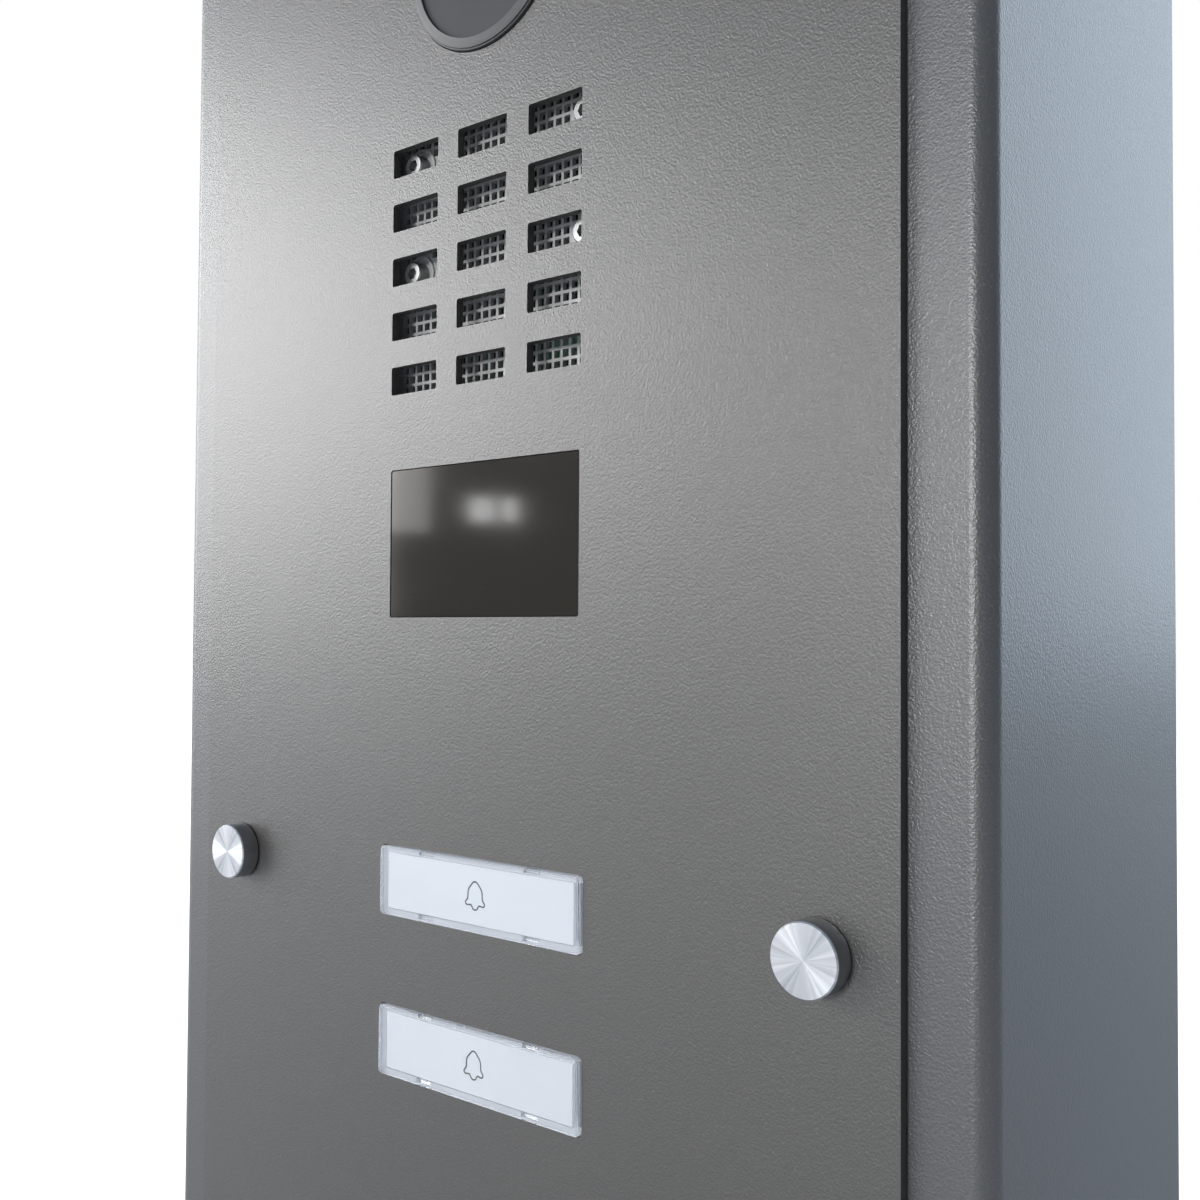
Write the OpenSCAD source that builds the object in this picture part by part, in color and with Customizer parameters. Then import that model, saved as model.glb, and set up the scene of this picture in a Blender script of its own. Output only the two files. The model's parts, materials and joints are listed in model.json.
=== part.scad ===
// Surface-mounted door intercom panel: a folded sheet housing, a front plate that carries the
// camera, speaker, display window and two call buttons, and the electronics behind it.
// +X is right and +Z is up, seen from the front. The front faces -Y. The origin is the centre
// of the back plate's rear face, which lies on the wall.

/* [Housing] */
// Outer width of the housing
housing_w = 230; // [190:1:320]
// Outer height of the housing
housing_h = 430; // [410:1:600]
// Depth from the wall to the face of the front flange
housing_depth = 105; // [95:1:160]
// Thickness of the housing's sheet
sheet_t = 1.5; // [1:0.1:2.5]
// Outer radius of the bend between a side wall and the front flange
bend_r = 4; // [3:0.1:6]
// Corner radius of the housing and the back plate, seen from behind
corner_r = 2; // [1:0.1:4]
// Width of the front flange that shows around the front plate
reveal = 15; // [10:0.5:25]
// Width of the front flange that lies behind the front plate
flange_overlap = 24; // [23:0.5:30]
// Width of the rear lip that the back plate is screwed to
rear_lip_w = 14; // [12:0.5:20]

/* [Wall mounting] */
// Distance between the wall screws, left to right
wall_screw_dx = 150; // [100:1:160]
// Distance between the wall screws, top to bottom
wall_screw_dz = 340; // [250:1:370]
// Radius of the wall screw holes
wall_hole_r = 2.75; // [2:0.05:4]
// Radius of the cable grommet's bore
cable_r = 5; // [3:0.1:8]
// Height of the cable entry above the origin
cable_z = -130; // [-150:1:-60]

/* [Front plate] */
// Thickness of the front plate
plate_t = 2; // [1.5:0.1:3]
// Thickness of the seal between the plate and the flange
seal_t = 0.4; // [0.3:0.1:1]
// Distance from the plate's side edge to a knob's axis
knob_inset = 15.8; // [14:0.1:17]
// Radius of a knob
knob_r = 6.8; // [5:0.1:8]
// Length of a knob and its washer in front of the plate
knob_len = 5; // [4:0.1:12]
// Height of the knobs' axes above the first button's centre
knob_rise = 0.8; // [-2:0.1:4]
// Radius of the knobs' threaded studs
stud_r = 2.5; // [2:0.1:3]

/* [Camera] */
// Distance from the plate's top edge to the camera's axis
camera_drop = 64.3; // [58:0.1:80]
// Outer radius of the camera's ring
camera_r = 22.2; // [18:0.1:26]
// Height of the camera's trim in front of the plate
camera_proud = 1.4; // [1:0.1:3]
// Width of the grey trim on the ring's face
trim_w = 2.05; // [1.5:0.05:4]

/* [Sound slots] */
// Distance from the camera's axis down to the middle row of slots
camera_to_slots = 67.3; // [66:0.1:90]
// Number of slot columns
slot_cols = 3; // [2:1:3]
// Number of slot rows
slot_rows = 5; // [4:1:5]
// Distance between slot columns
slot_dx = 21.4; // [18:0.1:22]
// Distance between slot rows
slot_dz = 12.75; // [11:0.05:13]
// Width of a slot
slot_w = 15; // [12:0.1:17]
// Height of a slot
slot_h = 6.5; // [5:0.1:8]
// Distance between the lattice's bars, centre to centre
mesh_pitch = 2.4; // [2.2:0.1:3.5]
// Width of the lattice's bars
mesh_bar = 0.7; // [0.6:0.05:1]

/* [Display window] */
// Distance from the middle row of slots down to the window's centre
slots_to_window = 63.4; // [63:0.1:80]
// Width of the window's opening
window_w = 57.5; // [50:0.5:64]
// Height of the window's opening
window_h = 34.2; // [28:0.2:38]

/* [Call buttons] */
// Distance from the window's centre down to the first button
window_to_buttons = 77.5; // [70:0.1:80]
// Distance between the two buttons
button_dz = 36.4; // [32:0.1:42]
// Width of a button's opening
button_w = 60.9; // [50:0.1:64]
// Height of a button's opening
button_h = 16.2; // [14:0.1:20]
// Height of a button's cap in front of the plate
button_proud = 1; // [0.6:0.1:2]
// Travel of a button
button_travel = 1; // [0.6:0.1:1.2]
// Distance from each end of a button's opening to the label
label_side = 2.4; // [2:0.1:5]
// Distance from the top and the bottom of a button's opening to the label
label_rim = 1.8; // [1.5:0.1:2.5]

/* [Electronics] */
// Width of the main board
board_w = 102; // [100:1:110]
// Height of the main board
board_h = 176; // [150:1:190]
// Distance from the plate's rear face to the main board
board_gap = 28; // [26:0.5:34]
// Depth of the rear cover behind the main board
cover_depth = 22; // [18:1:26]

/* [Hidden] */
$fn = 48;
clear = 0.2;            // gap around a piece that sits in an opening
run_fit = 0.05;         // radial gap of a stud that turns or slides in its bore
screw_r = 1.5;          // M3 screws, studs and nuts
screw_hole_r = 1.7;
nut_flats = 5.5;
nut_h = 2.4;
head_r = 2.8;
head_h = 1.6;
cap_head_r = 2.75;      // head of an M3 socket cap screw
cap_head_h = 3;
cap_socket = [1.44, 1.5]; // radius over the corners and depth
stud_out = 3.5;         // from a module's side to the axis of its stud
ear_w = 9;              // width of the ear around a stud
past = 1;               // how far a cut runs past the face that it opens

flange_front = -housing_depth;
flange_rear = flange_front + sheet_t;
plate_rear = flange_front - seal_t;
plate_front = plate_rear - plate_t;
plate_w = housing_w - 2 * reveal;
plate_h = housing_h - 2 * reveal;
plate_corner_r = 1.5;
opening_w = plate_w - 2 * flange_overlap;
opening_h = plate_h - 2 * flange_overlap;
back_t = sheet_t;

camera_z = plate_h / 2 - camera_drop;
slots_z = camera_z - camera_to_slots;
window_z = slots_z - slots_to_window;
buttons_z = [window_z - window_to_buttons, window_z - window_to_buttons - button_dz];
knob_x = plate_w / 2 - knob_inset;
knob_z = buttons_z[0] + knob_rise;

// Sound lattice: a moulded tray that stands off the plate on its rim
slot_corner_r = 0.5;
slot_field_w = (slot_cols - 1) * slot_dx + slot_w;
slot_field_h = (slot_rows - 1) * slot_dz + slot_h;
lattice_gap = 4.5;        // from the plate's rear face to the lattice
lattice_t = 1.2;
tray_wall = 2;
tray_side = 5;          // solid margin between the lattice and the tray's side wall
tray_end = 1;           // the same above and below
lattice_w = slot_field_w + 2 * lattice_gap;   // reaches out as far as it can be seen at 45 degrees
lattice_h = slot_field_h + 2 * lattice_gap;
tray_w = lattice_w + 2 * (tray_side + tray_wall);
tray_h = lattice_h + 2 * (tray_end + tray_wall);
lattice_front = plate_rear + lattice_gap;
lattice_rear = lattice_front + lattice_t;
tray_stud_x = tray_w / 2 + 1.5;
tray_stud_z = tray_h / 2 - 14;
tray_studs = [for (sx = [-1, 1], sz = [-1, 1]) [sx * tray_stud_x, slots_z + sz * tray_stud_z]];

// Speaker: a racetrack driver behind the upper rows, and the microphone below it
speaker_z = slots_z + slot_dz + 0.3;
speaker_boss_r = 4.6;
speaker_boss_t = 0.7;
speaker_boss_h = 0.5;
speaker_rim = 4.5;      // from a screw's axis to the edge of the frame
speaker_screw_dx = 2 * slot_dx + slot_w - 5.6;
speaker_screw_dz = 2 * slot_dz;
speaker_w = speaker_screw_dx + 2 * speaker_rim;
speaker_h = speaker_screw_dz + 2 * speaker_rim;
speaker_screws_at = [for (sx = [-1, 1], sz = [-1, 1])
    [sx * speaker_screw_dx / 2, speaker_z + sz * speaker_screw_dz / 2]];
speaker_gasket_t = 1;
speaker_frame_t = 1.2;
cone_w = speaker_w - 14;
cone_h = speaker_h - 8;
basket_r = 8;           // corner radius of the basket
basket_t = 1.2;
magnet_r = 12;
magnet_h = 6;
magnet_seat_r = magnet_r - 4;
basket_h = 9;
speaker_front = lattice_rear + speaker_gasket_t;
mic_r = 3;
mic_len = 4;
mic_pad = 1;            // boot between the lattice and the microphone
mic_boot_t = 2;
mic_port_r = 1;
mic_z = slots_z - 1.5 * slot_dz - 2;

// Camera, from the plate's hole backwards
camera_hole_r = camera_r + clear;
camera_window_recess = 0.8;
ring_floor_t = 1;       // floor of the ring, on which the window seats
camera_window_t = camera_proud + plate_t - ring_floor_t - camera_window_recess;
trim_inset = 0.5;       // step from the ring's side in to the trim
trim_t = 0.3;           // thickness of the trim at its outer edge
trim_slope = 0.4;       // rise of the trim from its outer edge to its inner edge
trim_r = camera_r - trim_inset;
trim_in_r = trim_r - trim_w;
ring_front = plate_front - camera_proud + trim_slope + trim_t;
ring_ledge = 6.2;       // from the ring's side in to the camera's body
camera_body_r = camera_r - ring_ledge;
camera_body_wall = 2;
camera_body_len = 14;
camera_flange_r = camera_r + 3;
camera_flange_t = 2;
camera_rear = plate_rear + camera_flange_t + camera_body_len;
barrel_r = 7;
barrel_wall = 1.5;
barrel_len = 12;
barrel_collar = [2, 5];  // start and end of the collar, behind the barrel's front
camera_board_s = 2 * (camera_body_r - 3);
camera_board_screw = camera_body_r - 6;
board_t = 1.6;
camera_studs = [for (s = [-1, 1]) [s * (camera_flange_r + stud_out), camera_z]];

// Display window, its gasket, module and bracket
window_corner_r = 0.6;
window_recess = 0.2;
window_flange = 3;      // how far the window's step reaches behind the plate
window_flange_t = 1.5;
window_gasket_t = 1;
bracket_t = 2;
bracket_depth = 7;
bracket_w = window_w + 2 * window_flange + 2 * bracket_t;
bracket_h = window_h + 2 * window_flange + 2 * bracket_t;
window_stud_dz = 24;
window_studs = [for (sx = [-1, 1], sz = [-1, 1])
    [sx * (bracket_w / 2 + stud_out), window_z + sz * window_stud_dz / 2]];

// Call buttons
cap_front = plate_front - button_proud;
cap_face_t = 1.5;
cap_edge_r = 0.6;
cap_corner_r = 1.2;
cap_w = button_w - 2 * clear;
cap_h = button_h - 2 * clear;
cap_lip = 1.6;          // how far the cap's lip reaches behind the plate
cap_lip_t = 1.2;
cap_lip_front = plate_rear + clear;
cap_lip_rear = cap_lip_front + cap_lip_t;
label_w = button_w - 2 * label_side;
label_h = button_h - 2 * label_rim;
pocket_gap = 0.1;       // air between the cap and what lies in its pocket
label_front = cap_front + cap_face_t + pocket_gap;
label_t = 0.2;
cap_rear = label_front + 0.9;
clip_x = 16;
clip_w = 4.4;
clip_h = 0.8;
clip_len = 1.2;
guide_boss = [14, label_h - 3, 1];
frame_wall = 2;
frame_gap = 0.5;
frame_w = cap_w + 2 * (cap_lip + frame_gap + frame_wall);
frame_h = cap_h + 2 * (cap_lip + frame_gap + frame_wall);
frame_rear = cap_lip_rear + guide_boss[2] + button_travel + 2.2;
frame_rear_t = 1.2;
frame_slot_x = 18;      // slot in the frame through which a lamp shines
lamp_slot = [8, 6];
lamp = [3.5, 2.8, 1.5];
frame_studs_x = frame_w / 2 + stud_out;
actuator_r = 1.75;
actuator_in = 1.4;      // how far the actuator reaches into the switch at rest
switch_s = 12;
switch_h = 4;
button_board_w = 66;
button_board_h = button_dz + 2 * switch_s;
button_board_front = frame_rear + switch_h;
board_screw_x = 27;

// Main board and its cover
main_front = plate_rear + board_gap;
main_rear = main_front + board_t;
main_z = (camera_z + buttons_z[1]) / 2 + 4;
spacer_r = 3;
spacer_x = board_w / 2 - 3.6;
spacer_z = board_h / 2 - 5;
spacers_at = [for (sx = [-1, 1], sz = [-1, 1]) [sx * spacer_x, main_z + sz * spacer_z]];
cover_wall = 2;
cover_w = 2 * (spacer_x - 4.5);
cover_z = main_z + 10;
cover_h = board_h - 20;
terminal_h = 11;
terminal_w = 60;
terminal_d = 14;
terminal_z = main_z - board_h / 2 + terminal_h / 2 + 2;
terminal_poles = 8;
terminal_screw_r = 1.9;
terminal_screw_seat = main_rear + 8;
poles_x = [for (k = [0:terminal_poles - 1])
    (k - (terminal_poles - 1) / 2) * terminal_w / terminal_poles];

// Housing hardware
lip_front = -back_t - sheet_t;
rivet_r = screw_r + 0.7;
sink_depth = 1.1;       // countersink of the back plate's screws
back_inset = 0.5;       // from the housing's side in to the back plate's edge
earth_len = 18;
lip_screws_at = [for (sx = [-1, 1], sz = [-1, 0, 1])
    [sx * (housing_w - rear_lip_w) / 2, sz * (housing_h / 2 - 25)]];
lip_screw_len = 8;
grommet_flange_r = cable_r + 6;
grommet_neck_r = cable_r + 3;
grommet_len = 7;
earth_at = [housing_w / 2 - 35, cable_z];
bush_r = 4.5;
bush_len = 8;
washer_t = 0.4;
knob_face_t = 1.6;      // metal in front of the knob's stud
hook_x = opening_w / 2 - 16;
hook_w = 14;
hook_t = 1.5;

powder = [0.42, 0.42, 0.43];
powder_side = [0.50, 0.53, 0.57];
black = [0.06, 0.06, 0.06];
dark = [0.2, 0.2, 0.21];
silver = [0.8, 0.81, 0.82];
steel = [0.62, 0.63, 0.65];
green = [0.05, 0.3, 0.16];
clear_plastic = [0.85, 0.9, 0.95, 0.6];
opal = [0.86, 0.88, 0.92];
lattice_grey = [0.45, 0.46, 0.46];

// ---- shared shapes ----

// Flat rectangle with true round corners, centred
module round_rect(w, h, r) {
    square([w - 2 * r, h], center = true);
    square([w, h - 2 * r], center = true);
    for (sx = [-1, 1], sz = [-1, 1]) translate([sx * (w / 2 - r), sz * (h / 2 - r)]) circle(r);
}

// Extrudes a shape drawn in X and Z from y0 back to y1
module slab(y0, y1) {
    translate([0, y1, 0]) rotate([90, 0, 0]) linear_extrude(y1 - y0) children();
}

// Cylinder along Y from y0 back to y1, at a point given in X and Z
module rod(at, r, y0, y1) {
    translate([at[0], y1, at[1]]) rotate([90, 0, 0]) cylinder(h = y1 - y0, r = r);
}

// Cone along Y from y0 back to y1
module taper(at, r0, r1, y0, y1) {
    translate([at[0], y1, at[1]]) rotate([90, 0, 0]) cylinder(h = y1 - y0, r1 = r1, r2 = r0);
}

module ring(at, r_out, r_in, y0, y1) {
    difference() {
        rod(at, r_out, y0, y1);
        rod(at, r_in, y0 - past, y1 + past);
    }
}

module box_at(x, z, w, h, y0, y1) {
    translate([x - w / 2, y0, z - h / 2]) cube([w, y1 - y0, h]);
}

module hex_nut(at, r, flats, y0, y1) {
    difference() {
        translate([at[0], y1, at[1]]) rotate([90, 0, 0])
            cylinder(h = y1 - y0, r = flats / 2 / cos(30), $fn = 6);
        rod(at, r, y0 - past, y1 + past);
    }
}

// Socket cap screw: head in front of y_seat with a six-sided socket, shank behind it
module cap_screw(at, y_seat, len) {
    front = y_seat - cap_head_h;
    edge = 0.3;
    difference() {
        union() {
            taper(at, cap_head_r - edge, cap_head_r, front, front + edge);
            rod(at, cap_head_r, front + edge, y_seat);
        }
        translate([at[0], front + cap_socket[1], at[1]]) rotate([90, 0, 0])
            cylinder(h = cap_socket[1] + past, r = cap_socket[0], $fn = 6);
    }
    rod(at, screw_r, y_seat, y_seat + len);
}

// ---- housing ----

// Outline of the folded sheet in X and Y, with the front bends rounded
module fold_profile(w, front, rear, r) {
    translate([-w / 2, front + r]) square([w, rear - front - r]);
    translate([-w / 2 + r, front]) square([w - 2 * r, rear - front]);
    for (s = [-1, 1]) translate([s * (w / 2 - r), front + r]) circle(r);
}

// Box whose four front edges are bends, mitred at the corners
module folded_box(w, h, front, rear, r) {
    intersection() {
        translate([0, 0, -h / 2]) linear_extrude(h) fold_profile(w, front, rear, r);
        rotate([0, 90, 0]) translate([0, 0, -w / 2]) linear_extrude(w) fold_profile(h, front, rear, r);
    }
}

module housing_shell() {
    color(powder_side) difference() {
        folded_box(housing_w, housing_h, flange_front, -back_t, bend_r);
        folded_box(housing_w - 2 * sheet_t, housing_h - 2 * sheet_t, flange_rear, lip_front, bend_r - sheet_t);
        box_at(0, 0, opening_w, opening_h, flange_front - past, flange_rear + past);
        box_at(0, 0, housing_w - 2 * rear_lip_w, housing_h - 2 * rear_lip_w, lip_front - past, past);
        for (s = [-1, 1]) rod([s * knob_x, knob_z], bush_r, flange_front - past, flange_rear + past);
        for (p = lip_screws_at) rod(p, rivet_r, lip_front - past, past);
    }
}

module back_plate() {
    color(powder_side) difference() {
        slab(-back_t, 0) round_rect(housing_w - 2 * back_inset, housing_h - 2 * back_inset, corner_r);
        for (sx = [-1, 1], sz = [-1, 1])
            rod([sx * wall_screw_dx / 2, sz * wall_screw_dz / 2], wall_hole_r, -back_t - past, past);
        rod([0, cable_z], grommet_neck_r, -back_t - past, past);
        rod(earth_at, stud_r, -back_t - past, past);
        for (p = lip_screws_at) {
            rod(p, screw_hole_r, -back_t - past, past);
            taper(p, screw_hole_r, head_r + clear, -sink_depth, 0.01);
        }
    }
}

module back_plate_screws() {
    head_sunk = 0.1;
    head_rear = -sink_depth - head_sunk;
    color(steel) for (p = lip_screws_at) {
        taper(p, screw_r, head_r, head_rear, -head_sunk);
        rod(p, screw_r, -lip_screw_len, head_rear);
    }
}

// Rivet nuts in the rear lip that take the back plate's screws
module rivet_nuts() {
    body_r = screw_r + 2;
    body_len = 4;
    color(steel) for (p = lip_screws_at) {
        ring(p, rivet_r, screw_r, lip_front, -back_t);
        ring(p, body_r, screw_r, lip_front - body_len, lip_front);
    }
}

module cable_grommet() {
    color(black) difference() {
        union() {
            rod([0, cable_z], grommet_neck_r, -grommet_len, -0.01);
            taper([0, cable_z], grommet_neck_r, grommet_flange_r, -grommet_len, -back_t);
        }
        rod([0, cable_z], cable_r, -grommet_len - past, past);
    }
}

module earth_stud() {
    color(steel) rod(earth_at, stud_r, -earth_len, 0);
}

// M5 nut on a washer
module earth_nut() {
    washer_r = 5;
    washer_front = -back_t - 1;
    nut_len = 4;
    color(steel) {
        ring(earth_at, washer_r, stud_r + 0.1, washer_front, -back_t);
        hex_nut(earth_at, stud_r + run_fit, 8, washer_front - nut_len, washer_front);
    }
}

// ---- front plate ----

module slot_field() {
    for (i = [0:slot_cols - 1], j = [0:slot_rows - 1])
        translate([(i - (slot_cols - 1) / 2) * slot_dx, slots_z + (j - (slot_rows - 1) / 2) * slot_dz])
            round_rect(slot_w, slot_h, slot_corner_r);
}

module front_plate() {
    color(powder) difference() {
        slab(plate_front, plate_rear) difference() {
            round_rect(plate_w, plate_h, plate_corner_r);
            slot_field();
            translate([0, window_z]) round_rect(window_w, window_h, window_corner_r);
            for (z = buttons_z) translate([0, z]) round_rect(button_w, button_h, cap_corner_r);
        }
        rod([0, camera_z], camera_hole_r, plate_front - past, plate_rear + past);
        for (s = [-1, 1]) rod([s * knob_x, knob_z], stud_r + 0.25, plate_front - past, plate_rear + past);
    }
}

module plate_seal() {
    seal_inset = 1.5;
    seal_w = 8;
    color(black) slab(plate_rear, flange_front) difference() {
        square([plate_w - 2 * seal_inset, plate_h - 2 * seal_inset], center = true);
        square([plate_w - 2 * (seal_inset + seal_w), plate_h - 2 * (seal_inset + seal_w)], center = true);
    }
}

// One stud or its nut, which sits at the given height above the plate's rear face
module stud_and_nut(at, seat, part) {
    if (part == "stud") rod(at, screw_r, plate_rear, plate_rear + seat + nut_h + 1);
    if (part == "nut") hex_nut(at, screw_r + run_fit, nut_flats, plate_rear + seat, plate_rear + seat + nut_h);
}

module module_fixings(part) {
    for (p = camera_studs) stud_and_nut(p, camera_flange_t, part);
    for (p = tray_studs) stud_and_nut(p, lattice_gap + lattice_t, part);
    for (p = window_studs) stud_and_nut(p, bracket_t, part);
    for (z = buttons_z, s = [-1, 1]) stud_and_nut([s * frame_studs_x, z], frame_wall, part);
}

module weld_studs() {
    color(steel) module_fixings("stud");
}

module module_nuts() {
    color(steel) module_fixings("nut");
}

// Hooks on the plate's rear face that hang over the top of the flange opening
module plate_hooks() {
    hook_gap = 0.5;
    hook_rear = flange_rear + hook_gap + hook_t;
    stem_h = 10;
    stem_drop = 6;
    tab_h = 18;
    color(steel) for (s = [-1, 1]) {
        box_at(s * hook_x, opening_h / 2 - stem_drop, hook_w, stem_h, plate_rear, hook_rear);
        box_at(s * hook_x, opening_h / 2 + 1, hook_w, tab_h, hook_rear - hook_t, hook_rear);
    }
}

// Threaded bushes pressed into the flange, in which the knobs' studs turn
module fixing_bushes() {
    collar = 1.5;
    color(steel) for (s = [-1, 1]) {
        ring([s * knob_x, knob_z], bush_r, stud_r + run_fit, flange_front, flange_front + bush_len);
        ring([s * knob_x, knob_z], bush_r + collar, stud_r + run_fit, flange_rear, flange_rear + collar);
    }
}

module knob_washers() {
    color(black) for (s = [-1, 1])
        ring([s * knob_x, knob_z], knob_r - 0.2, stud_r + 0.1, plate_front - washer_t, plate_front);
}

// ---- knobs ----

module knob(s) {
    knob_front = plate_front - knob_len;
    edge = 0.3;
    at = [s * knob_x, knob_z];
    color(silver) difference() {
        union() {
            rod(at, knob_r, knob_front + edge, plate_front - washer_t - run_fit);
            taper(at, knob_r - edge, knob_r, knob_front, knob_front + edge);
        }
        rod(at, stud_r, knob_front + knob_face_t, plate_front);
    }
}

module knob_stud(s) {
    stud_front = plate_front - knob_len + knob_face_t;
    color(steel) rod([s * knob_x, knob_z], stud_r, stud_front, flange_front + bush_len + 3);
}

module knob_left() { knob(-1); }
module knob_left_stud() { knob_stud(-1); }
module knob_right() { knob(1); }
module knob_right_stud() { knob_stud(1); }

// ---- camera ----

module camera_ring() {
    at = [0, camera_z];
    color(black) difference() {
        rod(at, camera_r, ring_front, plate_rear);
        rod(at, trim_in_r, ring_front - past, plate_rear - ring_floor_t);
        rod(at, camera_body_r, ring_front, plate_rear + past);
    }
}

// Grey trim on the ring: a shallow cone that rises from its outer edge to its inner edge
module camera_trim() {
    at = [0, camera_z];
    face = plate_front - camera_proud;
    color([0.45, 0.45, 0.46]) difference() {
        union() {
            taper(at, trim_in_r, trim_r, face, face + trim_slope);
            rod(at, trim_r, face + trim_slope, ring_front);
        }
        rod(at, trim_in_r - 0.05, face - past, ring_front + past);
    }
}

module camera_window() {
    face = plate_front - camera_proud + camera_window_recess;
    color(dark) rod([0, camera_z], trim_in_r - 0.1, face, face + camera_window_t);
}

module camera_housing() {
    at = [0, camera_z];
    color(black) difference() {
        union() {
            rod(at, camera_flange_r, plate_rear, plate_rear + camera_flange_t);
            for (p = camera_studs) rod(p, ear_w / 2, plate_rear, plate_rear + camera_flange_t);
            box_at(0, camera_z, 2 * camera_studs[1][0], ear_w, plate_rear, plate_rear + camera_flange_t);
            rod(at, camera_body_r, plate_rear, camera_rear);
        }
        rod(at, camera_body_r - camera_body_wall, plate_rear - past, camera_rear - camera_body_wall);
        rod(at, barrel_r - barrel_wall, camera_rear - camera_body_wall - past, camera_rear + past);
        for (p = camera_studs) rod(p, screw_hole_r, plate_rear - past, plate_rear + camera_flange_t + past);
    }
}

module camera_lens_barrel() {
    at = [0, camera_z];
    rear = camera_rear - camera_body_wall;
    front = rear - barrel_len;
    sensor_r = barrel_r - 3;
    sensor_wall = 3;
    color(dark) difference() {
        union() {
            rod(at, barrel_r, front, rear);
            rod(at, barrel_r + barrel_wall, front + barrel_collar[0], front + barrel_collar[1]);
        }
        rod(at, barrel_r - barrel_wall, front - past, rear - sensor_wall);
        rod(at, sensor_r, rear - sensor_wall - past, rear + past);
    }
}

// Domed front element of the lens, a cap cut from a sphere
module camera_lens() {
    at = [0, camera_z];
    rim_r = barrel_r - barrel_wall - 0.1;
    dome_r = 9;
    seat = camera_rear - camera_body_wall - barrel_len + 3.5;
    edge_t = 1;
    color([0.1, 0.1, 0.14]) intersection() {
        translate([at[0], seat + sqrt(dome_r * dome_r - rim_r * rim_r) - edge_t, at[1]]) sphere(dome_r);
        rod(at, rim_r, seat - dome_r, seat + edge_t);
    }
}

// Camera board with its connector and image processor on the rear
module camera_board() {
    rear = camera_rear + board_t;
    plug_w = 2 * (camera_board_screw - 3);
    plug_h = 5;
    chip_s = camera_board_screw - 1;
    color(green) difference() {
        union() {
            box_at(0, camera_z, camera_board_s, camera_board_s, camera_rear, rear);
            box_at(0, camera_z - camera_board_s / 2 + plug_h, plug_w, plug_h, rear, rear + 3);
            box_at(0, camera_z + 0.4 * camera_board_screw, chip_s, chip_s, rear, rear + 1.2);
        }
        for (s = [-1, 1]) rod([s * camera_board_screw, camera_z + s * camera_board_screw], screw_hole_r,
            camera_rear - past, rear + past);
    }
}

module camera_board_screws() {
    rear = camera_rear + board_t;
    color(steel) for (s = [-1, 1])
        rod([s * camera_board_screw, camera_z + s * camera_board_screw], head_r - 0.5, rear, rear + head_h);
}

// ---- speaker and microphone ----

// Square cells of the lattice, left out around the screw bosses
module lattice_cells() {
    cell = mesh_pitch - mesh_bar;
    cols = floor(lattice_w / mesh_pitch);
    rows = floor(lattice_h / mesh_pitch);
    boss_r = speaker_boss_r + cell / 3;
    for (i = [0:cols - 1], j = [0:rows - 1]) {
        x = (i - (cols - 1) / 2) * mesh_pitch;
        z = slots_z + (j - (rows - 1) / 2) * mesh_pitch;
        near = [for (p = speaker_screws_at) if (norm([x, z] - p) < boss_r) 1];
        if (len(near) == 0) translate([x, z]) square(cell, center = true);
    }
}

// Lattice tray, with a raised ring around each speaker screw
module sound_lattice() {
    inner_w = tray_w - 2 * tray_wall;
    inner_h = tray_h - 2 * tray_wall;
    color(lattice_grey) difference() {
        union() {
            slab(lattice_front, lattice_rear) difference() {
                translate([0, slots_z]) square([tray_w, tray_h], center = true);
                lattice_cells();
            }
            difference() {
                box_at(0, slots_z, tray_w, tray_h, plate_rear, lattice_rear);
                box_at(0, slots_z, inner_w, inner_h, plate_rear - past, lattice_rear + past);
            }
            for (p = tray_studs) box_at(p[0], p[1], ear_w, ear_w, plate_rear, lattice_rear);
            for (p = speaker_screws_at)
                ring(p, speaker_boss_r, speaker_boss_r - speaker_boss_t,
                    lattice_front - speaker_boss_h, lattice_front);
        }
        for (p = tray_studs) rod(p, screw_hole_r, plate_rear - past, lattice_rear + past);
        for (p = speaker_screws_at) rod(p, screw_r + run_fit, lattice_front - past, lattice_rear + past);
    }
}

module speaker_screws() {
    color(steel) for (p = speaker_screws_at) cap_screw(p, lattice_front, 7);
}

module speaker_outline() {
    round_rect(speaker_w, speaker_h, speaker_rim);
}

module speaker_gasket() {
    color(black) difference() {
        slab(lattice_rear, speaker_front) translate([0, speaker_z]) difference() {
            speaker_outline();
            round_rect(cone_w, cone_h, basket_r);
        }
        for (p = speaker_screws_at) rod(p, screw_hole_r, lattice_rear - past, speaker_front + past);
    }
}

// Speaker basket, with windows and a seat for the magnet in its rear wall
module speaker_frame() {
    rear = speaker_front + speaker_frame_t + basket_h;
    color(steel) difference() {
        union() {
            slab(speaker_front, speaker_front + speaker_frame_t) translate([0, speaker_z]) speaker_outline();
            slab(speaker_front, rear) translate([0, speaker_z]) round_rect(cone_w, cone_h, basket_r);
        }
        slab(speaker_front - past, rear - basket_t) translate([0, speaker_z])
            round_rect(cone_w - 2 * basket_t, cone_h - 2 * basket_t, basket_r - basket_t);
        rod([0, speaker_z], magnet_seat_r, rear - basket_t - past, rear + past);
        for (s = [-1, 1])
            box_at(s * (cone_w / 2 - 7), speaker_z, 7, cone_h - 10, rear - basket_t - past, rear + past);
        for (p = speaker_screws_at) rod(p, screw_r + run_fit, speaker_front - past, rear + past);
    }
}

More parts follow.
